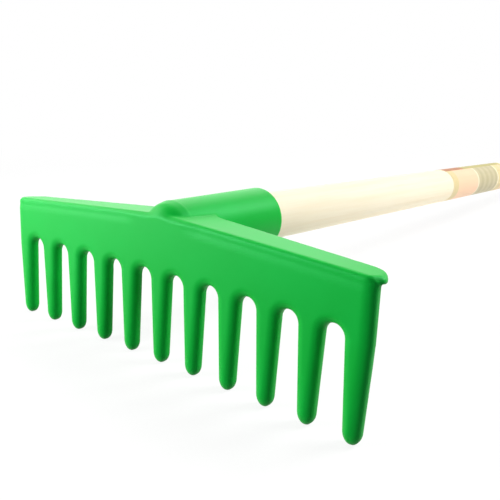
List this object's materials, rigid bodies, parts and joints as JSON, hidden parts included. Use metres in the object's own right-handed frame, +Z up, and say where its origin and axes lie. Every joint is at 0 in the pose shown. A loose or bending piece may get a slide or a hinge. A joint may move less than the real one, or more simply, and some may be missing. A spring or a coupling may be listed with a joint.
{
  "type": "sand rake",
  "caption": "Child's sand rake: a moulded plastic head with blunt tines on a straight round wooden handle.",
  "frame": {"origin": "on the ground, in the middle of the rake's length and width, as it lies on its tine tips and on the handle's far end", "axes": "+X along the head, +Y back along the handle, +Z up"},
  "size_m": [0.1896, 0.71, 0.0641],
  "materials": {
    "green_plastic": "semi-gloss, as moulded",
    "pale_wood": "sanded, unvarnished",
    "zinc_steel": "zinc plated",
    "printed_paper": "printed, satin"
  },
  "bodies": {
    "root": {"rake_head": "green_plastic", "handle": "pale_wood", "fixing_screw": "zinc_steel", "label": "printed_paper"}
  },
  "joints": []
}
